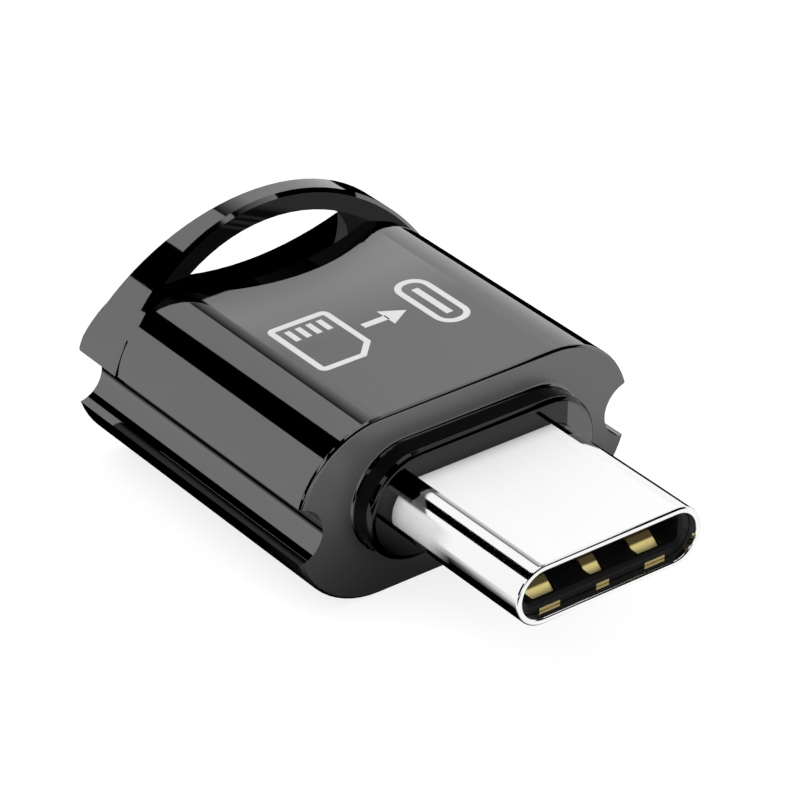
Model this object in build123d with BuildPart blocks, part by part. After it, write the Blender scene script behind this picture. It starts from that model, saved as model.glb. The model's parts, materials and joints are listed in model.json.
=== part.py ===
from build123d import *
from math import sqrt
import os

# Pocket memory card reader: a grooved cast shell with a cord loop at the rear, a Type-C plug at
# the front and a card slot in the rear face. X runs across, the plug points to -Y, Z is up.

# Plug, with the outer sizes of a standard Type-C plug
plug_width = 8.25
plug_height = 2.40
plug_length = 6.90
plug_sheet = 0.25
plug_flange = 0.15
mouth_recess = 0.40
mouth_bevel = 0.12
tongue_depth = 5.20
tongue_width = 6.90

# Card that the reader takes
card_width = 11.00
card_thickness = 0.70
card_play = 0.05

# Shell
body_width = 15.05
body_thickness = 7.30
body_length = 13.70
groove_radius = 1.15
edge_round = 0.15
collar_width = 10.20
collar_height = 4.40
collar_length = 1.00
collar_round = 0.25
collar_root = 0.15
plug_rise = 0.20
front_wall = 0.80
cavity_corner = 0.60

# Cord loop above the rear end
loop_height = 2.23
loop_band = 0.76
loop_foot = 2.60
loop_crest = 1.00
loop_lean = 0.80
loop_proud = 0.08
loop_bevel = 0.14
eye_width = 8.50
eye_corner_height = 0.10
eye_sag = 0.65
eye_fall = 0.25
scoop_reach = 3.95
scoop_arc = 7.60
scoop_ball = 10.90

# Inner pieces
fit = 0.10
slip = 0.02
board_thickness = 0.80
chip_size = 4.00
chip_height = 0.75
chip_headroom = 0.25
crystal_length = 2.00
crystal_width = 1.60
crystal_height = 0.50
passive_length = 1.00
passive_width = 0.50
capacitor_count = 5
capacitor_height = 0.50
resistor_count = 4
resistor_height = 0.35
tail_length = 1.40
tail_width = 9.00
tail_cheek = 1.00
carrier_floor = 0.70
bezel_thickness = 1.00
bezel_recess = 0.10
slot_bevel = 0.25
base_sheet = 0.35
cover_sheet = 0.15
card_stop = 0.90

# Sprung contacts
contact_count = 12
contact_pitch = 0.50
contact_width = 0.25
contact_sheet = 0.12
contact_bump = 0.14
contact_reach = 2.20
solder_overlap = 0.90
latch_sheet = 0.15
latch_arm = 0.40
latch_hook = 0.35
spring_sheet = 0.10
spring_length = 2.40
spring_lip = 0.25
spring_pitch = 2.35
spring_width = 5.80
wide_tab = 1.05
narrow_tab = 0.65
tab_dip = 0.10
prong_share = 0.85
pin_count = 8
pin_pitch = 1.10
pin_width = 0.50
pin_length = 4.20
pin_sheet = 0.12
pin_dip = 0.40

# Places along the length
front = collar_length + plug_length - (collar_length + plug_length + body_length) / 2
rear = front + body_length
tip = front - collar_length - plug_length
mouth = tip + mouth_recess
cavity_front = front + front_wall
board_front = cavity_front + tail_length
bezel_rear = rear - bezel_recess
bezel_front = bezel_rear - bezel_thickness
tongue_end = tip + tongue_depth

# Heights
mid = body_thickness / 2
plug_level = mid + plug_rise
board_top = plug_level + board_thickness / 2
board_bottom = plug_level - board_thickness / 2
card_space = card_thickness + 2 * card_play
base_bottom = board_bottom - base_sheet
socket_bottom = base_bottom - card_space - cover_sheet
cavity_bottom = socket_bottom - carrier_floor
cavity_top = board_top + chip_height + chip_headroom
cavity_height = cavity_top - cavity_bottom
cavity_level = (cavity_top + cavity_bottom) / 2

# Widths
cover_width = card_width + 2 * (card_play + cover_sheet)
cavity_width = cover_width + 2 * fit
housing_width = plug_width - 2 * (plug_sheet + slip)
housing_height = plug_height - 2 * (plug_sheet + slip)
tongue_height = board_thickness + 2 * contact_sheet

os.makedirs("parts", exist_ok=True)


def across(y):
    """Plane across the length at y, facing the plug end."""
    return Plane.XZ.offset(-y)


def save(piece, name):
    """Labels a finished piece and writes its file."""
    piece.part.label = name
    export_step(piece.part, f"parts/{name}.step")


def ribbon(path, sheet):
    """Closed outline of a bent strip: its upper path and the same path one sheet lower."""
    return path + [(y, z - sheet) for y, z in reversed(path)]


# Loop plate: an arch that runs out into the sides and thins towards its crest
lip_level = mid + groove_radius
lip_half = body_width / 2 - mid + sqrt(mid**2 - groove_radius**2) + loop_proud
crest_level = body_thickness + loop_height
with BuildPart() as loop_plate:
    with BuildSketch(across(rear)):
        with BuildLine():
            ThreePointArc((-lip_half, lip_level), (0, crest_level), (lip_half, lip_level))
            Line((lip_half, lip_level), (-lip_half, lip_level))
        make_face()
    extrude(amount=loop_foot)
    with BuildSketch(Plane.YZ):
        with BuildLine():
            Polyline(
                (rear - loop_foot, lip_level),
                (rear, lip_level),
                (rear, cavity_top),
                (rear - loop_lean, crest_level),
                (rear - loop_lean - loop_crest, crest_level),
                close=True,
            )
        make_face()
    extrude(amount=body_width, both=True, mode=Mode.INTERSECT)
    chamfer(loop_plate.edges().filter_by(GeomType.LINE, reverse=True), loop_bevel)

# Shell: round-sided body, rear scoop, loop, side grooves, plug collar and inner cavity
scoop_axis = rear - scoop_reach + scoop_arc
scoop_level = body_thickness + sqrt(scoop_ball**2 - scoop_arc**2)
eye_front = rear - loop_foot + (loop_foot - loop_lean - loop_crest) / 2
eye_plane = Plane((0, eye_front, body_thickness), x_dir=(1, 0, 0), z_dir=(0, -1, eye_fall))
with BuildPart() as shell:
    with BuildSketch(across(rear)):
        with Locations((0, mid)):
            SlotOverall(body_width, body_thickness)
    extrude(amount=body_length)
    fillet(shell.faces().sort_by(Axis.Y)[0].edges(), edge_round)
    with BuildSketch(Plane.YZ):
        with BuildLine():
            Polyline((rear, cavity_top), (rear - loop_lean, crest_level), (rear, crest_level), close=True)
        make_face()
    extrude(amount=body_width, both=True, mode=Mode.SUBTRACT)
    with Locations((0, scoop_axis, scoop_level)):
        Sphere(scoop_ball, mode=Mode.SUBTRACT)
    add(loop_plate.part)
    with BuildSketch(eye_plane.offset(loop_band / 2)):
        with BuildLine():
            left = (-eye_width / 2, eye_corner_height)
            right = (eye_width / 2, eye_corner_height)
            ThreePointArc(left, (0, loop_height - loop_band), right)
            ThreePointArc(right, (0, -eye_sag), left)
        make_face()
    extrude(amount=-loop_foot - loop_band, mode=Mode.SUBTRACT)
    with BuildSketch(across(rear)):
        with Locations((-body_width / 2, mid), (body_width / 2, mid)):
            Circle(groove_radius)
    extrude(amount=body_length, mode=Mode.SUBTRACT)
    with BuildSketch(across(front)):
        with Locations((0, plug_level)):
            SlotOverall(collar_width, collar_height)
    extrude(amount=collar_length)
    fillet(shell.faces().sort_by(Axis.Y)[0].edges(), collar_round)
    front_face = shell.faces().filter_by(Plane.XZ).sort_by(Axis.Y)[1]
    fillet(front_face.inner_wires()[0].edges(), collar_root)
    with BuildSketch(across(rear)):
        with Locations((0, cavity_level)):
            RectangleRounded(cavity_width, cavity_height, cavity_corner)
    extrude(amount=body_length - front_wall, mode=Mode.SUBTRACT)
    with BuildSketch(across(cavity_front)):
        with Locations((0, plug_level)):
            SlotOverall(plug_width + 2 * slip, plug_height + 2 * slip)
    extrude(amount=front_wall + collar_length, mode=Mode.SUBTRACT)
save(shell, "shell")

# Plug shell: drawn tube with a flared flange behind the front wall
with BuildPart() as plug_shell:
    with BuildSketch(across(cavity_front + plug_sheet)):
        with Locations((0, plug_level)):
            SlotOverall(plug_width, plug_height)
            SlotOverall(
                plug_width - 2 * plug_sheet, plug_height - 2 * plug_sheet, mode=Mode.SUBTRACT
            )
    extrude(amount=cavity_front + plug_sheet - tip)
    with BuildSketch(across(cavity_front + plug_sheet)):
        with Locations((0, plug_level)):
            SlotOverall(plug_width + 2 * plug_flange, plug_height + 2 * plug_flange)
            SlotOverall(plug_width, plug_height, mode=Mode.SUBTRACT)
    extrude(amount=plug_sheet)
    fillet(plug_shell.edges().group_by(Axis.Y)[0], plug_sheet * 0.4)
save(plug_shell, "plug_shell")

# Plug housing: insulator tube with a tongue slot, spring pockets and three windows each side
pocket_depth = spring_sheet + slip
tabs = ((-spring_pitch, wide_tab), (0, narrow_tab), (spring_pitch, wide_tab))
window_start = mouth + spring_lip
window_length = spring_length * 0.6
pocket_length = spring_length - spring_lip + slip
with BuildPart() as plug_housing:
    with BuildSketch(across(cavity_front)):
        with Locations((0, plug_level)):
            SlotOverall(housing_width, housing_height)
            RectangleRounded(tongue_width, tongue_height, tongue_height / 4, mode=Mode.SUBTRACT)
    extrude(amount=cavity_front - mouth)
    chamfer(plug_housing.faces().sort_by(Axis.Y)[0].inner_wires()[0].edges(), mouth_bevel)
    pocket_level = (housing_height - pocket_depth) / 2
    for level in (plug_level - pocket_level, plug_level + pocket_level):
        with Locations((0, window_start + pocket_length / 2, level)):
            Box(spring_width + 2 * slip, pocket_length, pocket_depth, mode=Mode.SUBTRACT)
        for x, width in tabs:
            with Locations((x, mouth + spring_lip / 2, level)):
                Box(width * prong_share + 2 * slip, spring_lip, pocket_depth, mode=Mode.SUBTRACT)
    for x, width in tabs:
        with Locations((x, window_start + window_length / 2, plug_level)):
            Box(width + fit, window_length, housing_height, mode=Mode.SUBTRACT)
save(plug_housing, "plug_housing")

# Ground springs: a strip in each pocket, with three tabs that bow through the windows and end in
# narrow prongs at the mouth
spring_top = plug_level + housing_height / 2
window_end = window_start + window_length
tab_level = plug_level + tongue_height / 2 - tab_dip
with BuildPart() as ground_spring_upper:
    with Locations((0, (window_start + slip + mouth + spring_length) / 2, spring_top - spring_sheet / 2)):
        Box(spring_width, spring_length - spring_lip - slip, spring_sheet)
    for x, width in tabs:
        with Locations((x, window_start + window_length / 2, spring_top)):
            Box(width + fit, window_length, housing_height, mode=Mode.SUBTRACT)
        with BuildSketch(Plane.YZ.offset(x)):
            with BuildLine():
                tab_path = [
                    (window_end, spring_top),
                    (window_end - window_length * 0.05, spring_top),
                    (window_start + window_length * 0.65, tab_level),
                    (window_start + window_length * 0.50, tab_level),
                    (window_start + window_length * 0.05, spring_top),
                    (window_start, spring_top),
                ]
                Polyline(*ribbon(tab_path, spring_sheet), close=True)
            make_face()
        extrude(amount=width / 2, both=True)
        with Locations((x, mouth + spring_lip / 2, spring_top - spring_sheet / 2)):
            Box(width * prong_share, spring_lip, spring_sheet)
save(ground_spring_upper, "ground_spring_upper")

with BuildPart() as ground_spring_lower:
    add(ground_spring_upper.part)
    mirror(about=Plane.XY.offset(plug_level), mode=Mode.REPLACE)
save(ground_spring_lower, "ground_spring_lower")

# Contact rows: straight strips with a bump over the tongue and a tail on the board
contact_start = tip + contact_reach
contact_end = board_front + solder_overlap
with BuildPart() as plug_contact:
    with BuildSketch(Plane.YZ):
        with BuildLine():
            Polyline(
                (contact_start, board_top + contact_sheet),
                (contact_end, board_top + contact_sheet),
                (contact_end, board_top),
                (contact_start + 5 * contact_bump, board_top),
                (contact_start + 3 * contact_bump, board_top - contact_bump),
                (contact_start + 2 * contact_bump, board_top - contact_bump),
                (contact_start, board_top),
                close=True,
            )
        make_face()
    extrude(amount=contact_width / 2, both=True)

with BuildPart() as plug_contacts_upper:
    with GridLocations(contact_pitch, 0, contact_count, 1):
        add(plug_contact.part)
save(plug_contacts_upper, "plug_contacts_upper")

with BuildPart() as plug_contacts_lower:
    add(plug_contacts_upper.part)
    mirror(about=Plane.XY.offset(plug_level), mode=Mode.REPLACE)
save(plug_contacts_lower, "plug_contacts_lower")

# Contact carriers: insulators behind the tongue slot with a wide tail between two cheeks
inner_width = tongue_width - 2 * fit
tail_front = cavity_front + plug_sheet
with BuildPart() as contact_carrier_upper:
    with BuildSketch(Plane.XY.offset(plug_level + latch_sheet / 2)):
        with Locations((0, (tongue_end + board_front) / 2)):
            Rectangle(inner_width, board_front - tongue_end)
        with Locations((0, (tail_front + board_front) / 2)):
            Rectangle(tail_width, board_front - tail_front)
    extrude(amount=(board_thickness - latch_sheet) / 2)
    with BuildSketch(Plane.XY.offset(board_top)):
        with Locations((0, (tail_front + board_front) / 2)):
            with GridLocations(tail_width - tail_cheek, 0, 2, 1):
                Rectangle(tail_cheek, board_front - tail_front)
    extrude(amount=(plug_height - board_thickness) / 2)
save(contact_carrier_upper, "contact_carrier_upper")

with BuildPart() as contact_carrier_lower:
    add(contact_carrier_upper.part)
    mirror(about=Plane.XY.offset(plug_level), mode=Mode.REPLACE)
save(contact_carrier_lower, "contact_carrier_lower")

# Latch plate: shield between the rows with a hooked arm along each side of the tongue slot
arm_start = tip + contact_reach - latch_arm
arm_edge = tongue_width / 2 - slip
with BuildPart() as latch_plate:
    with BuildSketch(Plane.XY.offset(plug_level - latch_sheet / 2)):
        with Locations((0, (tongue_end + board_front) / 2)):
            Rectangle(inner_width, board_front - tongue_end)
        with Locations((0, (tail_front + board_front) / 2)):
            Rectangle(tail_width, board_front - tail_front)
        with BuildLine():
            Polyline(
                (arm_edge, tongue_end),
                (arm_edge, arm_start),
                (arm_edge - latch_arm, arm_start),
                (arm_edge - latch_arm - latch_hook, arm_start + latch_hook),
                (arm_edge - latch_arm, arm_start + 2 * latch_hook),
                (arm_edge - latch_arm, tongue_end),
                close=True,
            )
        make_face()
        mirror(about=Plane.YZ)
    extrude(amount=latch_sheet)
save(latch_plate, "latch_plate")

# Circuit board with its parts on the upper face
board_width = cavity_width - 2 * fit
board_rear = bezel_front - fit
with BuildPart() as circuit_board:
    with BuildSketch(Plane.XY.offset(board_bottom)):
        with Locations((0, (board_front + board_rear) / 2)):
            Rectangle(board_width, board_rear - board_front)
    extrude(amount=board_thickness)
save(circuit_board, "circuit_board")

# Board parts: controller, crystal and two kinds of small passive parts beside them
chip_y = contact_end + fit + passive_length + chip_size / 2
with BuildPart() as controller_chip:
    with Locations((0, chip_y, board_top + chip_height / 2)):
        Box(chip_size, chip_size, chip_height)
save(controller_chip, "controller_chip")

with BuildPart() as crystal:
    with Locations((chip_size / 2 + fit + crystal_length / 2, chip_y, board_top + crystal_height / 2)):
        Box(crystal_length, crystal_width, crystal_height)
    fillet(crystal.edges().filter_by(Axis.Z), passive_width * 0.3)
save(crystal, "crystal")

passive_row = chip_y + chip_size / 2 + fit + passive_length / 2
with BuildPart() as capacitors:
    with Locations((0, passive_row, board_top + capacitor_height / 2)):
        with GridLocations(2 * passive_width, 0, capacitor_count, 1):
            Box(passive_width, passive_length, capacitor_height)
save(capacitors, "capacitors")

resistor_x = -(chip_size / 2 + fit + passive_length / 2)
with BuildPart() as resistors:
    with Locations((resistor_x, chip_y, board_top + resistor_height / 2)):
        with GridLocations(0, 2 * passive_width, 1, resistor_count):
            Box(passive_length, passive_width, resistor_height)
save(resistors, "resistors")

# Card socket under the board: insulator base, folded cover, sprung pins and a detect spring
socket_front = contact_end + fit
socket_rear = board_rear
socket_y = (socket_front + socket_rear) / 2
socket_length = socket_rear - socket_front
base_width = cover_width - 2 * (cover_sheet + slip)
pin_start = socket_front + card_stop
pin_end = pin_start + pin_length
detect_x = (pin_count * pin_pitch + pin_width) / 2
pin_places = [((i - (pin_count - 1) / 2) * pin_pitch, pin_width) for i in range(pin_count)]
detect_place = (detect_x, pin_width / 2)
with BuildPart() as card_socket_base:
    with BuildSketch(Plane.XY.offset(base_bottom)):
        with Locations((0, socket_y)):
            Rectangle(base_width, socket_length)
        for x, width in pin_places + [detect_place]:
            with Locations((x, (pin_start + pin_end) / 2)):
                Rectangle(width + 2 * fit, pin_length, mode=Mode.SUBTRACT)
    extrude(amount=base_sheet)
    with BuildSketch(Plane.XY.offset(base_bottom)):
        with Locations((0, socket_front + card_stop / 2)):
            Rectangle(base_width, card_stop)
    extrude(amount=-card_space)
save(card_socket_base, "card_socket_base")

with BuildPart() as card_socket_cover:
    with BuildSketch(across(socket_rear)):
        with Locations((0, (socket_bottom + board_bottom) / 2)):
            Rectangle(cover_width, board_bottom - socket_bottom)
        with Locations((0, (socket_bottom + cover_sheet + board_bottom) / 2)):
            Rectangle(
                cover_width - 2 * cover_sheet,
                board_bottom - socket_bottom - cover_sheet,
                mode=Mode.SUBTRACT,
            )
    extrude(amount=socket_length)
    with BuildSketch(Plane.XY.offset(socket_bottom)):
        with Locations((0, (pin_start + pin_end) / 2)):
            with GridLocations(card_width / 2, 0, 2, 1):
                SlotOverall(pin_length, pin_width, rotation=90)
    extrude(amount=cover_sheet, mode=Mode.SUBTRACT)
save(card_socket_cover, "card_socket_cover")


def pin_outline():
    """Side outline of one sprung strip, from its soldered root to its raised end."""
    path = [
        (pin_start + fit, board_bottom),
        (pin_start + pin_length * 0.2, board_bottom),
        (pin_start + pin_length * 0.35, base_bottom),
        (pin_end - pin_length * 0.2, base_bottom - pin_dip),
        (pin_end - fit, base_bottom - pin_dip / 2),
    ]
    return ribbon(path, pin_sheet)


with BuildPart() as card_socket_contacts:
    for x, width in pin_places:
        with BuildSketch(Plane.YZ.offset(x)):
            with BuildLine():
                Polyline(*pin_outline(), close=True)
            make_face()
        extrude(amount=width / 2, both=True)
save(card_socket_contacts, "card_socket_contacts")

with BuildPart() as card_detect_spring:
    with BuildSketch(Plane.YZ.offset(detect_place[0])):
        with BuildLine():
            Polyline(*pin_outline(), close=True)
        make_face()
    extrude(amount=detect_place[1] / 2, both=True)
save(card_detect_spring, "card_detect_spring")

# Slide-in tray: floor under the socket, posts under the plug tail and the rear bezel with its slot
slot_level = base_bottom - card_space / 2
tray_front = cavity_front + fit
post_level = plug_level - plug_height / 2 - slip
with BuildPart() as tray:
    with BuildSketch(across(bezel_rear)):
        with Locations((0, cavity_level)):
            RectangleRounded(
                cavity_width - 2 * fit, cavity_height - 2 * fit, cavity_corner - fit
            )
    extrude(amount=bezel_rear - tray_front)
    with BuildSketch(Plane.XY.offset(socket_bottom)):
        with Locations((0, (tray_front + bezel_front) / 2)):
            Rectangle(cavity_width, bezel_front - tray_front)
    extrude(amount=cavity_height, mode=Mode.SUBTRACT)
    with BuildSketch(Plane.XY.offset(socket_bottom)):
        with Locations((0, (tail_front + board_front) / 2)):
            with GridLocations(tail_width - tail_cheek, 0, 2, 1):
                Rectangle(tail_cheek, board_front - tail_front)
    extrude(amount=post_level - socket_bottom)
    with BuildSketch(across(bezel_rear)):
        with Locations((0, slot_level)):
            Rectangle(card_width + 2 * card_play, card_space)
    extrude(amount=bezel_thickness, mode=Mode.SUBTRACT)
    slot_edges = tray.faces().sort_by(Axis.Y)[-1].inner_wires()[0].edges()
    chamfer(slot_edges.filter_by(Axis.X), slot_bevel)
save(tray, "tray")
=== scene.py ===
# %% [markdown]
# # A pocket card reader with a reversible plug
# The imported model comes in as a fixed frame: every solid is already at its real size
# and place. This lesson gives each surface its finish, adds the printed mark on the
# top of the shell, and sets up a small studio in which dark plated metal looks the way
# it does in a product picture.

# %% Load the frame
import json
from math import cos, pi, radians, sin

import bmesh
import bpy
from mathutils import Matrix, Vector

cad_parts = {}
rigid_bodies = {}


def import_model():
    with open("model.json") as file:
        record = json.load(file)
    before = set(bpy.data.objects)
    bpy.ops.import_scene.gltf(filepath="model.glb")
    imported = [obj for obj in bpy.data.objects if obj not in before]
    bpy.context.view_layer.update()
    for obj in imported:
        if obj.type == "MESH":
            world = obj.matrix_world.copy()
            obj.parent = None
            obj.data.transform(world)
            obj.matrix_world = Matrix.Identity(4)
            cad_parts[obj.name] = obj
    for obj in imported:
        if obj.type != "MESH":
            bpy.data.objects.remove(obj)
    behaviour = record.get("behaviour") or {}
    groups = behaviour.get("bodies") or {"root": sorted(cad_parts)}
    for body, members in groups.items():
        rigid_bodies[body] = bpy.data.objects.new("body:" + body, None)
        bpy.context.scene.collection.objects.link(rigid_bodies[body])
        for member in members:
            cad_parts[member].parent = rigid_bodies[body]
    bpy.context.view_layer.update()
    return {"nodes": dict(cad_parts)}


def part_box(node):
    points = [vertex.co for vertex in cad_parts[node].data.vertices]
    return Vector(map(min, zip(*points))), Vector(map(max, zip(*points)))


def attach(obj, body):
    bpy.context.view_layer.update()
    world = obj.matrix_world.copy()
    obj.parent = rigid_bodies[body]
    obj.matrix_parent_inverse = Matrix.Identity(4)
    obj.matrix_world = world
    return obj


for thing in list(bpy.data.objects):
    bpy.data.objects.remove(thing)
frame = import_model()
MM = 0.001
shell_low, shell_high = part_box("shell")
plug_low, plug_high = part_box("plug_shell")
print("nodes:", len(frame["nodes"]), "shell from", shell_low[:], "to", shell_high[:])

# %% [markdown]
# ## The levels that the finishes follow
# The solids are fixed, so a few of their own levels are enough to place everything
# else: the flat top and the front and rear faces of the shell, and the flat top of the
# plug. They could be picked from the meshes face by face, but boxes are simpler to
# read. The shell's box ends at the face of the collar round the plug, which stands one
# millimetre proud of the shell's front.

# %% Levels read from the boxes
COLLAR = 1.00 * MM
TOP = 7.30 * MM
PLUG_HALF_HEIGHT = 1.20 * MM
front = shell_low.y + COLLAR
rear = shell_high.y
plug_mouth = plug_low.y
plug_top = (plug_low.z + plug_high.z) / 2 + PLUG_HALF_HEIGHT
print("front face at", front, "rear at", rear, "plug top at", plug_top)

# %% [markdown]
# ## Camera
# A long lens from the front left, above the part. A camera can be turned by hand or by
# a constraint; here its angles are plain values, so the view is easy to change. The aim
# is a point inside the part that falls on the middle of the picture, so the framing
# needs no lens shift and other views stay centred.

# %% A helper that puts data into the scene
def add_object(name, data):
    """Object that holds the data, linked into the scene."""
    made = bpy.data.objects.new(name, data)
    bpy.context.scene.collection.objects.link(made)
    return made


print("helper ready:", add_object.__name__)

# %% Camera at the photograph's angle
AZIMUTH = radians(-38.15)
ELEVATION = radians(31.11)
ROLL = radians(1.02)
DISTANCE = 138.82 * MM
LENS = 176.1
SENSOR = 36
NEAR_CLIP = 1 * MM
AIM = Vector((-1.11, -0.38, 5.80)) * MM

turn = Matrix.Rotation(AZIMUTH, 4, "Z") @ Matrix.Rotation(pi / 2 - ELEVATION, 4, "X")
turn = turn @ Matrix.Rotation(ROLL, 4, "Z")
stand = AIM + turn.to_3x3() @ Vector((0, 0, DISTANCE))
camera_data = bpy.data.cameras.new("camera")
camera_data.lens = LENS
camera_data.sensor_width = SENSOR
camera_data.clip_start = NEAR_CLIP
camera = add_object("camera", camera_data)
camera.matrix_world = Matrix.Translation(stand) @ turn
bpy.context.scene.camera = camera
bpy.context.scene.view_settings.view_transform = "Standard"
print("camera at", camera.matrix_world.translation[:])

# %% [markdown]
# ## Shared surface effects
# No real finish is perfectly even. Two small node groups give every material its own
# fine variation: one is a cloudy grain for castings, mouldings and coatings, the other
# is stretched along the part, like the marks that a drawing die leaves on a steel tube.
# A painted texture would need an unwrapped mesh, so noise on Object coordinates is used.

# %% Helpers for node trees
def add_socket(group, name, direction, kind="NodeSocketFloat"):
    """Adds a named input or output to a node group."""
    group.interface.new_socket(name=name, in_out=direction, socket_type=kind)


def math_node(tree, operation, first, second=0.0, clamp=False):
    """Output of a Math node that is fed by sockets or plain numbers."""
    node = tree.nodes.new("ShaderNodeMath")
    node.operation = operation
    node.use_clamp = clamp
    for socket, value in zip(node.inputs, (first, second)):
        if isinstance(value, (int, float)):
            socket.default_value = value
        else:
            tree.links.new(value, socket)
    return node.outputs[0]


def object_position(tree):
    """The three Object coordinates, as sockets named by axis."""
    place = tree.nodes.new("ShaderNodeTexCoord")
    split = tree.nodes.new("ShaderNodeSeparateXYZ")
    tree.links.new(place.outputs["Object"], split.inputs[0])
    return split.outputs


print("helpers ready:", add_socket.__name__, math_node.__name__, object_position.__name__)

# %% Node groups for grain and draw lines
NOISE_DETAIL = 4.0
NOISE_ROUGHNESS = 0.6
NOISE_LOW, NOISE_HIGH = 0.3, 0.7
EVEN = (1.0, 1.0, 1.0)
LENGTHWAYS = (1.0, 0.02, 1.0)


def make_grain_group(name, stretch):
    """Noise on Object coordinates, put out as a mask, a roughness and a height."""
    group = bpy.data.node_groups.new(name, "ShaderNodeTree")
    for wanted in ("Scale", "Smooth", "Rough"):
        add_socket(group, wanted, "INPUT")
    for given in ("Mask", "Roughness", "Height"):
        add_socket(group, given, "OUTPUT")
    nodes, links = group.nodes, group.links
    inside = nodes.new("NodeGroupInput")
    outside = nodes.new("NodeGroupOutput")
    place = nodes.new("ShaderNodeTexCoord")
    mapping = nodes.new("ShaderNodeMapping")
    mapping.inputs["Scale"].default_value = stretch
    noise = nodes.new("ShaderNodeTexNoise")
    noise.inputs["Detail"].default_value = NOISE_DETAIL
    noise.inputs["Roughness"].default_value = NOISE_ROUGHNESS
    spread = nodes.new("ShaderNodeMapRange")
    spread.inputs["From Min"].default_value = NOISE_LOW
    spread.inputs["From Max"].default_value = NOISE_HIGH
    links.new(place.outputs["Object"], mapping.inputs["Vector"])
    links.new(mapping.outputs["Vector"], noise.inputs["Vector"])
    links.new(inside.outputs["Scale"], noise.inputs["Scale"])
    links.new(noise.outputs["Fac"], spread.inputs["Value"])
    links.new(inside.outputs["Smooth"], spread.inputs["To Min"])
    links.new(inside.outputs["Rough"], spread.inputs["To Max"])
    links.new(noise.outputs["Fac"], outside.inputs["Mask"])
    links.new(spread.outputs["Result"], outside.inputs["Roughness"])
    links.new(noise.outputs["Fac"], outside.inputs["Height"])
    return group


grain = make_grain_group("cloudy_grain", EVEN)
draw_lines = make_grain_group("draw_lines", LENGTHWAYS)
print("groups:", grain.name, draw_lines.name)

# %% [markdown]
# A third group marks off a box in Object coordinates with soft borders, and can keep to
# surfaces that face one way. With it, one material can be satin on a flat face and a
# mirror on the rounded sides, as a casting is that was polished and then brushed. Faces
# could get materials of their own instead, but the borders would then be hard.

# %% Mask for surfaces that face one way
FACING_GAIN = 3.0


def facing_mask(group, facing, closeness):
    """Nought up to the closeness, and one from a third of the way to dead on."""
    surface = group.nodes.new("ShaderNodeTexCoord")
    turned = group.nodes.new("ShaderNodeVectorMath")
    turned.operation = "DOT_PRODUCT"
    group.links.new(surface.outputs["Normal"], turned.inputs[0])
    group.links.new(facing, turned.inputs[1])
    beyond = group.nodes.new("ShaderNodeMapRange")
    beyond.inputs["From Max"].default_value = 1.0
    beyond.inputs["To Max"].default_value = FACING_GAIN
    group.links.new(turned.outputs["Value"], beyond.inputs["Value"])
    group.links.new(closeness, beyond.inputs["From Min"])
    return math_node(group, "MINIMUM", beyond.outputs["Result"], 1.0)


print("helper ready:", facing_mask.__name__)

# %% Node group that marks off a box
def make_zone_group(name):
    """One inside a box, on surfaces that face closely enough, and nought elsewhere."""
    group = bpy.data.node_groups.new(name, "ShaderNodeTree")
    for axis in "XYZ":
        add_socket(group, f"Low {axis}", "INPUT")
        add_socket(group, f"High {axis}", "INPUT")
    add_socket(group, "Border", "INPUT")
    add_socket(group, "Facing", "INPUT", "NodeSocketVector")
    add_socket(group, "Closeness", "INPUT")
    add_socket(group, "Mask", "OUTPUT")
    given = group.nodes.new("NodeGroupInput").outputs
    outside = group.nodes.new("NodeGroupOutput")
    position = object_position(group)
    mask = facing_mask(group, given["Facing"], given["Closeness"])
    for axis in "XYZ":
        from_low = math_node(group, "SUBTRACT", position[axis], given[f"Low {axis}"])
        to_high = math_node(group, "SUBTRACT", given[f"High {axis}"], position[axis])
        for gap in (from_low, to_high):
            share = math_node(group, "DIVIDE", gap, given["Border"], clamp=True)
            mask = math_node(group, "MULTIPLY", mask, share)
    group.links.new(mask, outside.inputs["Mask"])
    return group


soft_zone = make_zone_group("soft_zone")
print("group:", soft_zone.name)

# %% [markdown]
# ## Finishes
# Each finish is a Principled shader with plain values on its sockets, and a grain group
# for the colour, the roughness and a shallow bump. The shell is plated, not painted: it
# has the mirror of a metal but only about a sixth of its light, which is why white
# surroundings read as mid grey.

# %% A helper that makes a finish
def grey(level):
    """Colour with three equal parts."""
    return (level, level, level)


def finish(
    name, dark, light, group, scale, smooth, rough, bump=0.0, metallic=0.0, sheen=0.5
):
    """Material with colours from dark to light and a roughness from smooth to rough."""
    material = bpy.data.materials.new(name)
    material.use_nodes = True
    nodes, links = material.node_tree.nodes, material.node_tree.links
    shader = nodes["Principled BSDF"]
    shader.inputs["Metallic"].default_value = metallic
    shader.inputs["Specular IOR Level"].default_value = sheen
    pattern = nodes.new("ShaderNodeGroup")
    pattern.node_tree = group
    pattern.inputs["Scale"].default_value = scale
    pattern.inputs["Smooth"].default_value = smooth
    pattern.inputs["Rough"].default_value = rough
    colour = nodes.new("ShaderNodeMix")
    colour.data_type = "RGBA"
    colour.inputs["A"].default_value = (*dark, 1.0)
    colour.inputs["B"].default_value = (*light, 1.0)
    links.new(pattern.outputs["Mask"], colour.inputs["Factor"])
    links.new(colour.outputs["Result"], shader.inputs["Base Color"])
    links.new(pattern.outputs["Roughness"], shader.inputs["Roughness"])
    if bump:
        relief = nodes.new("ShaderNodeBump")
        relief.inputs["Strength"].default_value = 1.0
        relief.inputs["Distance"].default_value = bump
        links.new(pattern.outputs["Height"], relief.inputs["Height"])
        links.new(relief.outputs["Normal"], shader.inputs["Normal"])
    return material


print("helpers ready:", grey.__name__, finish.__name__)

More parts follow.
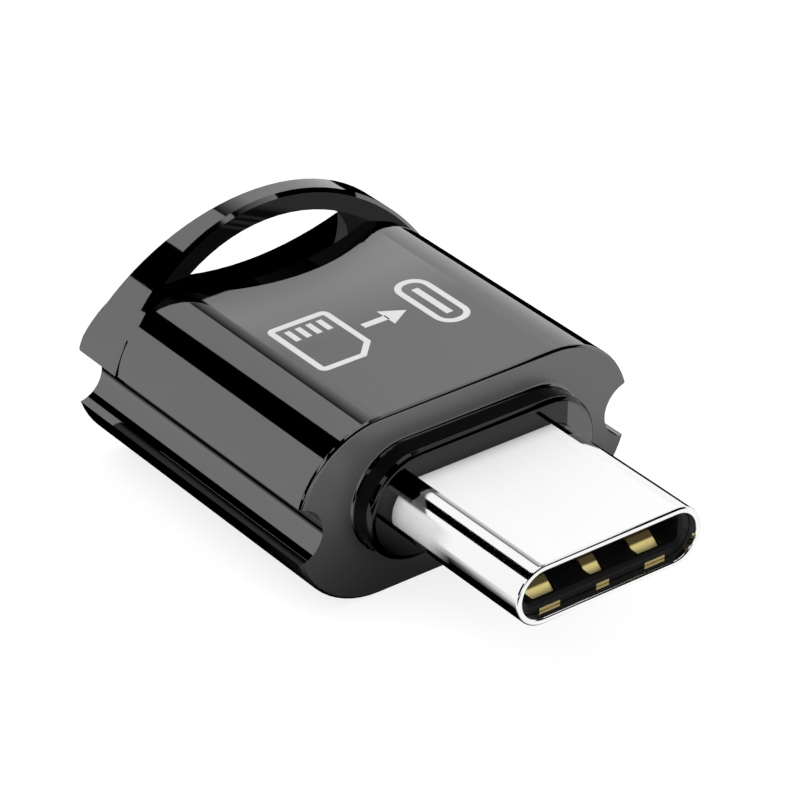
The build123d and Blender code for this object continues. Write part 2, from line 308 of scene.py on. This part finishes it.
# %% Finishes that show
plated_black = finish(
    "plated_black", grey(0.145), grey(0.155), grain,
    scale=600, smooth=0.03, rough=0.05, metallic=1.0,
)
bright_steel = finish(
    "bright_steel", grey(0.90), grey(0.96), draw_lines,
    scale=4000, smooth=0.05, rough=0.09, metallic=1.0,
)
gold_strip = finish(
    "gold_strip", (0.92, 0.72, 0.30), (0.98, 0.84, 0.46), grain,
    scale=3000, smooth=0.16, rough=0.28, metallic=1.0,
)
black_moulding = finish(
    "black_moulding", grey(0.006), grey(0.010), grain,
    scale=6000, smooth=0.32, rough=0.45, bump=0.002 * MM, sheen=0.15,
)
pale_ink = finish(
    "pale_ink", grey(0.72), grey(0.78), grain, scale=8000, smooth=0.35, rough=0.5,
)
print("outer finishes made")

# %% Finishes of the inner parts
stamped_steel = finish(
    "stamped_steel", grey(0.62), grey(0.72), draw_lines,
    scale=4000, smooth=0.15, rough=0.28, metallic=1.0,
)
solder_mask = finish(
    "solder_mask", (0.010, 0.10, 0.045), (0.016, 0.15, 0.07), grain,
    scale=900, smooth=0.2, rough=0.35,
)
fired_ceramic = finish(
    "fired_ceramic", (0.40, 0.29, 0.19), (0.52, 0.39, 0.27), grain,
    scale=5000, smooth=0.4, rough=0.6,
)
chip_resin = finish(
    "chip_resin", grey(0.014), grey(0.022), grain,
    scale=9000, smooth=0.45, rough=0.6, bump=0.001 * MM,
)
print("inner finishes made")

# %% [markdown]
# ## Where a finish changes
# One casting carries several finishes. The flat top is blasted matt and the front face
# is brushed to a satin, so they show no sharp image of the loop or the collar, while
# the rounded sides stay polished, and the collar is blacker. Shade is painted into the
# colour low on the front and on the front of the loop, and light is painted in at the
# rear of the top and at the right end of the collar's face.

# %% A helper that changes a finish inside a zone
FAR = 0.05
EVERYWHERE = (-FAR, FAR)


def blend_socket(tree, target, value, mask):
    """Blends what a socket has now to a new value, as far as the mask says."""
    blend = tree.nodes.new("ShaderNodeMix")
    is_colour = isinstance(value, tuple)
    blend.data_type = "RGBA" if is_colour else "FLOAT"
    sockets = {socket.name: socket for socket in blend.inputs if socket.enabled}
    result = next(socket for socket in blend.outputs if socket.enabled)
    if target.is_linked:
        tree.links.new(target.links[0].from_socket, sockets["A"])
    else:
        sockets["A"].default_value = target.default_value
    sockets["B"].default_value = (*value, 1.0) if is_colour else value
    tree.links.new(mask, sockets["Factor"])
    tree.links.new(result, target)


def in_zone(
    material, border, x=EVERYWHERE, y=EVERYWHERE, z=EVERYWHERE,
    facing=(0, 0, 0), closeness=-1.0, **changes,
):
    """Gives shader inputs new values inside a box; a colour is given as a triple."""
    tree = material.node_tree
    shader = tree.nodes["Principled BSDF"]
    mark = tree.nodes.new("ShaderNodeGroup")
    mark.node_tree = soft_zone
    for axis, (low, high) in zip("XYZ", (x, y, z)):
        mark.inputs[f"Low {axis}"].default_value = low
        mark.inputs[f"High {axis}"].default_value = high
    mark.inputs["Border"].default_value = border
    mark.inputs["Facing"].default_value = facing
    mark.inputs["Closeness"].default_value = closeness
    for key, value in changes.items():
        target = shader.inputs[key.replace("_", " ")]
        blend_socket(tree, target, value, mark.outputs["Mask"])


print("helpers ready:", blend_socket.__name__, in_zone.__name__)

# %% Matt top and satin front of the shell
TOP_HALF = 4.18 * MM
FORWARD = (0, -1, 0)
UPWARD = (0, 0, 1)
in_zone(
    plated_black, border=0.09 * MM, x=(-TOP_HALF, TOP_HALF),
    y=(front + 0.2 * MM, rear - 3.3 * MM), z=(TOP - 0.1 * MM, FAR),
    Roughness=0.35, Metallic=0.0, Base_Color=grey(0.11),
)
in_zone(
    plated_black, border=0.01 * MM, y=(front - 0.02 * MM, front + 0.012 * MM),
    Roughness=0.34, Metallic=0.35, Base_Color=grey(0.12),
)
print("matt top and satin front set")

# %% Painted shade and light on the shell, and its blacker collar
LOW_FRONT = 4.2 * MM
LOOP_FOOT = 4.2 * MM
COLLAR_END = 3.7 * MM
# Painted shade: the colour of the front face darkens towards the floor, as if in shade.
in_zone(
    plated_black, border=3.8 * MM, z=(-FAR, LOW_FRONT),
    facing=FORWARD, closeness=0.95, Base_Color=grey(0.045),
)
in_zone(
    plated_black, border=0.05 * MM, y=(-FAR, front - 0.03 * MM),
    Base_Color=grey(0.04),
)
# Painted reflection: the right end of the collar's face is made paler.
in_zone(
    plated_black, border=0.05 * MM, x=(COLLAR_END, FAR),
    y=(-FAR, front - COLLAR + 0.05 * MM), Base_Color=grey(0.13),
)
# Painted shade: the front face of the loop is made nearly black.
in_zone(
    plated_black, border=0.02 * MM, y=(rear - 2.9 * MM, rear - 1.5 * MM),
    z=(LOOP_FOOT, FAR), facing=FORWARD, closeness=0.9, Base_Color=grey(0.022),
)
# Painted light: the top is made paler towards the rear, near the loop.
in_zone(
    plated_black, border=3 * MM, x=(-7 * MM, 7 * MM), y=(2.5 * MM, 10 * MM),
    z=(TOP - 4 * MM, FAR), facing=UPWARD, closeness=0.995, Base_Color=grey(0.19),
)
print("shades of the plating set")

# %% [markdown]
# The plug is a drawn tube: bright on its round ends, and finely blasted on its flat top
# and beside its root, which therefore look white. The gold strip is palest at the tips
# of its tabs, since shade is painted into its colour deeper in the mouth, where little
# light reaches, and on the ends of the tabs that face forward.

# %% Blasted faces on the plug
PLUG_FLAT_HALF = 3.02 * MM
ROOT_LENGTH = 3.2 * MM
BLASTED = {"Roughness": 0.40, "Metallic": 0.0}
LEFT_AND_UP = (-0.978, 0, 0.208)
in_zone(
    bright_steel, border=0.03 * MM, x=(-PLUG_FLAT_HALF, PLUG_FLAT_HALF),
    y=(plug_mouth + 0.12 * MM, front), z=(plug_top - 0.04 * MM, FAR), **BLASTED,
)
in_zone(
    bright_steel, border=1.2 * MM, y=(front - COLLAR - ROOT_LENGTH, FAR),
    facing=LEFT_AND_UP, closeness=0.87, **BLASTED,
)
print("blasted zones on the plug set")

# %% Gold in the plug's mouth
in_zone(
    gold_strip, border=0.03 * MM, y=(-FAR, front),
    Metallic=0.0, Base_Color=(1.0, 0.84, 0.32),
)
# Painted shade: the gold deeper in the mouth is made dark brown.
in_zone(
    gold_strip, border=0.06 * MM, y=(plug_mouth + 1.12 * MM, front),
    Base_Color=(0.10, 0.075, 0.03),
)
# Painted shade: the gold ends that face forward, in the gap at the mouth, are darkened.
in_zone(
    gold_strip, border=0.03 * MM, y=(-FAR, front),
    facing=FORWARD, closeness=0.8, Base_Color=(0.38, 0.30, 0.12),
)
print("gold zones in the mouth set")

# %% Put the finishes on the nodes
node_finish = {
    "shell": plated_black,
    "plug_shell": bright_steel,
    "plug_housing": black_moulding,
    "ground_spring_upper": gold_strip,
    "ground_spring_lower": gold_strip,
    "plug_contacts_upper": gold_strip,
    "plug_contacts_lower": gold_strip,
    "contact_carrier_upper": black_moulding,
    "contact_carrier_lower": black_moulding,
    "latch_plate": stamped_steel,
    "circuit_board": solder_mask,
    "controller_chip": chip_resin,
    "crystal": stamped_steel,
    "capacitors": fired_ceramic,
    "resistors": chip_resin,
    "card_socket_base": black_moulding,
    "card_socket_cover": stamped_steel,
    "card_socket_contacts": gold_strip,
    "card_detect_spring": gold_strip,
    "tray": black_moulding,
}
for name, material in node_finish.items():
    frame["nodes"][name].data.materials.clear()
    frame["nodes"][name].data.materials.append(material)
print("finishes on", len(node_finish), "nodes")

# %% [markdown]
# ## Printed mark
# The top carries a small pale print that shows what the part is for: a card, an arrow
# and a plug. A picture laid on the top would blur from close by, so each sign is a film
# of its own. It starts as a flat grid, gets its corners from a vertex bevel and its line
# from an inset, and is then extruded by the thickness of ink. Signs are used, not words,
# so they need no language.

# %% Helpers for flat shapes
def plate(width, depth):
    """Flat plate in a new bmesh, centred on its own origin."""
    made = bmesh.new()
    bmesh.ops.create_grid(made, x_segments=1, y_segments=1, size=0.5)
    bmesh.ops.scale(made, vec=(width, depth, 1), verts=made.verts)
    return made


def mesh_object(name, shape):
    """Object with the mesh of a bmesh, which is freed."""
    mesh = bpy.data.meshes.new(name)
    shape.to_mesh(mesh)
    shape.free()
    return add_object(name, mesh)


print("helpers ready:", plate.__name__, mesh_object.__name__)

# %% Helpers for the signs
INK_LINE = 0.26 * MM
INK_FILM = 0.012 * MM
INK_SINK = 0.004 * MM


def cut_corners(sign, corners, offset, segments):
    """Bevels some corners of a plate: one segment clips a corner, several round it."""
    bmesh.ops.bevel(
        sign, geom=corners, offset=offset, segments=segments, profile=0.5,
        affect="VERTICES", material=-1,
    )


def keep_outline(sign):
    """Leaves only a line of ink along the plate's edge."""
    middle = next(iter(sign.faces))
    bmesh.ops.inset_region(sign, faces=[middle], thickness=INK_LINE, use_boundary=True)
    bmesh.ops.delete(sign, geom=[middle], context="FACES_ONLY")


def print_sign(name, sign, x, y):
    """Gives the sign its film thickness, puts it on the top and makes it a piece."""
    film = bmesh.ops.extrude_face_region(sign, geom=sign.faces[:])
    raised = [part for part in film["geom"] if isinstance(part, bmesh.types.BMVert)]
    bmesh.ops.translate(sign, vec=(0, 0, INK_FILM + INK_SINK), verts=raised)
    bmesh.ops.translate(sign, vec=(x, y, TOP - INK_SINK), verts=sign.verts)
    bmesh.ops.recalc_face_normals(sign, faces=sign.faces)
    piece = mesh_object(name, sign)
    piece.data.materials.append(pale_ink)
    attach(piece, "root")
    print(name, [round(size / MM, 2) for size in piece.dimensions], "mm")


print("ink is", INK_FILM / MM, "mm thick")

# %% [markdown]
# The card sign is a plate with one clipped corner, which is how such a card shows which
# way round it goes, and a row of short strips along its edge for the contacts.

# %% Card sign
SIGN_Y = front + 5.4 * MM
SIGN_DEEP = 3.5 * MM
CARD_X = -2.35 * MM
CARD_WIDE = 2.7 * MM
CARD_CLIP = 0.75 * MM
CARD_ROUND = 0.3 * MM
card = plate(CARD_WIDE, SIGN_DEEP)
clipped = max(card.verts, key=lambda v: v.co.x - v.co.y)
cut_corners(card, [clipped], CARD_CLIP, segments=1)
rounded = [v for v in card.verts if v.co.x < 0 or v.co.y > 0]
cut_corners(card, rounded, CARD_ROUND, segments=5)
keep_outline(card)
print_sign("print_card", card, CARD_X, SIGN_Y)

# %% Contacts of the card sign
CONTACTS = 4
CONTACT_WIDE, CONTACT_DEEP = 0.24 * MM, 0.75 * MM
CONTACT_PITCH = 0.47 * MM
CONTACT_Y = SIGN_Y + 0.9 * MM
for count in range(CONTACTS):
    contact = plate(CONTACT_WIDE, CONTACT_DEEP)
    contact_x = CARD_X + (count - (CONTACTS - 1) / 2) * CONTACT_PITCH
    print_sign(f"print_card_contact_{count + 1}", contact, contact_x, CONTACT_Y)

# %% [markdown]
# The arrow is a bar and a head with three corners. The plug sign is a slim rounded
# outline, like the end of the plug, with a bar inside for the tongue of the socket.

# %% Arrow sign
BAR_X, BAR_WIDE = -0.05 * MM, 1.1 * MM
HEAD_X, HEAD_RADIUS = 0.75 * MM, 0.62 * MM
BAR_LINE = 0.3 * MM
bar = plate(BAR_WIDE, BAR_LINE)
print_sign("print_arrow_bar", bar, BAR_X, SIGN_Y)
head = bmesh.new()
bmesh.ops.create_circle(head, cap_ends=True, segments=3, radius=HEAD_RADIUS)
bmesh.ops.rotate(head, matrix=Matrix.Rotation(-pi / 2, 3, "Z"), verts=head.verts)
print_sign("print_arrow_head", head, HEAD_X, SIGN_Y)

# %% Plug sign
PLUG_X, PLUG_WIDE = 2.55 * MM, 1.5 * MM
PLUG_ROUND = 0.7 * MM
TONGUE_DEEP = 2.1 * MM
outline = plate(PLUG_WIDE, SIGN_DEEP)
cut_corners(outline, outline.verts[:], PLUG_ROUND, segments=8)
keep_outline(outline)
print_sign("print_plug", outline, PLUG_X, SIGN_Y)
tongue = plate(BAR_LINE, TONGUE_DEEP)
print_sign("print_plug_tongue", tongue, PLUG_X, SIGN_Y)

# %% [markdown]
# ## Floor and surroundings
# The ground of the picture is white. More light would bleach the part, so the floor
# glows by itself for the camera and keeps a little shading of its own, on which the part
# has a soft shadow. Mirrors see the floor white far off and dark close to the part,
# where a real part would hide the light from it.

# %% Floor
FLOOR_SIDE = 4.0
floor = mesh_object("floor", plate(FLOOR_SIDE, FLOOR_SIDE))
print("floor spans", [round(size, 2) for size in floor.dimensions], "m")

# %% A helper for the floor's brightness
def beyond_shell(tree, position, low, high, reach):
    """Distance past the shell along one axis, as a share of a reach."""
    away = math_node(tree, "SUBTRACT", position, (low + high) / 2)
    away = math_node(tree, "ABSOLUTE", away)
    away = math_node(tree, "SUBTRACT", away, (high - low) / 2)
    away = math_node(tree, "MAXIMUM", away, 0.0)
    return math_node(tree, "DIVIDE", away, reach)


print("helper ready:", beyond_shell.__name__)

# %% Floor paint: the glow
FLOOR_GLOW = 0.80
NEAR_LIGHT = 0.05
FRONT_REACH = 6 * MM
SIDE_REACH = 5.7 * MM
floor_paint = bpy.data.materials.new("floor_paint")
floor_paint.use_nodes = True
tree = floor_paint.node_tree
tree.nodes.clear()
position = object_position(tree)
aside = beyond_shell(tree, position["X"], -shell_high.x, shell_high.x, SIDE_REACH)
ahead = beyond_shell(tree, position["Y"], front, rear, FRONT_REACH)
bright = math_node(tree, "ADD", aside, ahead)
bright = math_node(tree, "ADD", bright, NEAR_LIGHT, clamp=True)
rays = tree.nodes.new("ShaderNodeLightPath").outputs
seen = math_node(tree, "MAXIMUM", rays["Is Camera Ray"], rays["Is Transmission Ray"])
seen = math_node(tree, "MULTIPLY", seen, FLOOR_GLOW)
mirrored = math_node(tree, "MULTIPLY", rays["Is Glossy Ray"], bright)
glow = tree.nodes.new("ShaderNodeEmission")
tree.links.new(math_node(tree, "MAXIMUM", seen, mirrored), glow.inputs["Strength"])
print("floor glows at", FLOOR_GLOW)

# %% Floor paint: the shading
FLOOR_SHADE = 0.30
matt = tree.nodes.new("ShaderNodeBsdfDiffuse")
shade = math_node(tree, "SUBTRACT", 1.0, rays["Is Glossy Ray"])
shade = math_node(tree, "MULTIPLY", shade, FLOOR_SHADE)
tree.links.new(shade, matt.inputs["Color"])
both = tree.nodes.new("ShaderNodeAddShader")
surface = tree.nodes.new("ShaderNodeOutputMaterial")
tree.links.new(matt.outputs[0], both.inputs[0])
tree.links.new(glow.outputs[0], both.inputs[1])
tree.links.new(both.outputs[0], surface.inputs["Surface"])
floor.data.materials.append(floor_paint)
print("floor paint:", len(tree.nodes), "nodes")

# %% [markdown]
# The world is white wherever it is seen, straight or in a mirror, and lights the part a
# little less than that. Two round lamps add a soft direction: a large key from above and
# behind on the left, and a small fill from the front. Mirrors don't show the lamps.

# %% World
WORLD_LIGHT = 0.74
world = bpy.data.worlds.new("studio")
world.use_nodes = True
bpy.context.scene.world = world
tree = world.node_tree
sky = tree.nodes["Background"]
sky.inputs["Color"].default_value = (1, 1, 1, 1)
rays = tree.nodes.new("ShaderNodeLightPath").outputs
seen = math_node(tree, "MAXIMUM", rays["Is Camera Ray"], rays["Is Glossy Ray"])
seen = math_node(tree, "MAXIMUM", seen, rays["Is Transmission Ray"])
level = tree.nodes.new("ShaderNodeMix")
level.inputs["A"].default_value = WORLD_LIGHT
level.inputs["B"].default_value = 1.0
tree.links.new(seen, level.inputs["Factor"])
tree.links.new(level.outputs["Result"], sky.inputs["Strength"])
print("world lights the part at", WORLD_LIGHT)

# %% Soft lamps
def soft_lamp(name, place, size, energy):
    """Round soft lamp that points at the part; place and size are in millimetres."""
    lamp_data = bpy.data.lights.new(name, "AREA")
    lamp_data.shape = "DISK"
    lamp_data.size = size * MM
    lamp_data.energy = energy
    lamp = add_object(name, lamp_data)
    lamp.location = Vector(place) * MM
    lamp.rotation_euler = (-lamp.location).to_track_quat("-Z", "Y").to_euler()
    lamp.visible_glossy = False
    print(name, "lamp of", energy, "W")


soft_lamp("key", place=(-150, 60, 300), size=300, energy=0.35)
soft_lamp("fill", place=(20, -90, 22), size=60, energy=0.04)

# %% [markdown]
# ## Black cards
# A mirror-like black part in an all-white room shows no form: photographers stand black
# cards around it, and their images draw the dark stripes along the round sides and
# edges. These cards are seen only in mirrors. A card that fades to white makes a stripe
# with one soft border, and one with soft edges leaves no hard corner in a flat face.

# %% The paint of a card
def card_paint(name, fades, edges):
    """Black, perhaps fading from white along X, perhaps clear towards its edges."""
    paint = bpy.data.materials.new(name)
    paint.use_nodes = True
    tree = paint.node_tree
    tree.nodes.clear()
    position = object_position(tree)
    dark = tree.nodes.new("ShaderNodeEmission")
    dark.inputs["Strength"].default_value = 0.0
    if fades:
        fade = math_node(tree, "SUBTRACT", 0.5, position["X"])
        tree.links.new(fade, dark.inputs["Strength"])
    result = dark.outputs[0]
    if edges:
        share = 1.0
        for axis, edge in zip("XY", edges):
            off = math_node(tree, "ABSOLUTE", position[axis])
            off = math_node(tree, "SUBTRACT", 0.5, off)
            off = math_node(tree, "MULTIPLY", off, edge, clamp=True)
            share = math_node(tree, "MULTIPLY", off, share)
        clear = tree.nodes.new("ShaderNodeBsdfTransparent")
        blend = tree.nodes.new("ShaderNodeMixShader")
        tree.links.new(share, blend.inputs["Fac"])
        tree.links.new(clear.outputs[0], blend.inputs[1])
        tree.links.new(dark.outputs[0], blend.inputs[2])
        result = blend.outputs[0]
    surface = tree.nodes.new("ShaderNodeOutputMaterial")
    tree.links.new(result, surface.inputs["Surface"])
    return paint


print("helper ready:", card_paint.__name__)

# %% A helper that stands a card in place
NOT_SEEN_BY = ("camera", "diffuse", "transmission", "volume_scatter", "shadow")


def black_card(name, corner, across, along, fades=False, soft=0.0):
    """Card from a corner and two sides, with edges this soft, all in millimetres."""
    corner, across, along = (Vector(side) * MM for side in (corner, across, along))
    made = mesh_object(name, plate(1, 1))
    facing = across.cross(along).normalized()
    sides = Matrix((across, along, facing)).transposed().to_4x4()
    made.matrix_world = Matrix.Translation(corner + (across + along) / 2) @ sides
    edges = [side.length / (soft * MM) for side in (across, along)] if soft else []
    made.data.materials.append(card_paint(name + "_paint", fades, edges))
    for ray in NOT_SEEN_BY:
        setattr(made, "visible_" + ray, False)
    middle = [round(v / MM) for v in made.matrix_world.translation]
    print(name, "stands at", middle, "mm")


print("helper ready:", black_card.__name__)

# %% Long cards above the part
SHOULDER_X, SHOULDER_Z = -6.0, 6.6
STRIP_RADIUS = 80
STRIP_START, STRIP_LENGTH = -60, 280


def strip_above(name, first, second, fades=False):
    """Long card along the part, between two bearings from the left shoulder."""
    ends = []
    for angle in (radians(first), radians(second)):
        x = SHOULDER_X + STRIP_RADIUS * cos(angle)
        z = SHOULDER_Z + STRIP_RADIUS * sin(angle)
        ends.append(Vector((x, STRIP_START, z)))
    black_card(name, ends[0], ends[1] - ends[0], (0, STRIP_LENGTH, 0), fades)


strip_above("card_over_left", 100, 128)
strip_above("card_over_top", 51, 68.5, fades=True)

# %% Cards around the part
black_card("card_in_front", (-60, -75, 20), (190, 0, 0), (0, 0, 150))
black_card("card_high_right", (95, -60, 45), (0, 75, 0), (-60, 0, 80))
black_card("card_left", (-90, -75, 0), (0, 120, 0), (0, 0, 70))
black_card("card_behind", (20, 96, 0), (32, -16, 0), (0, 0, 48))

# %% Cards on the floor
black_card("card_low_right", (8, -3, 0.02), (50, 0, 0), (0, 90, 0))
# Painted shadow: card_low_left and card_under_plug lie under the edge of the shell and
# under the plug, where mirrors would see the floor in the part's shade.
black_card("card_low_left", (-13.5, -1.5, 0.02), (12, 0, 0), (0, 34, 0), soft=3)
black_card("card_under_plug", (-8.6, -13, 0.03), (9, 0, 0), (0, 16, 0), soft=2.5)
black_card("card_low_front", (-45, -50, 0.04), (37, 0, 0), (0, 40, 0), soft=4)
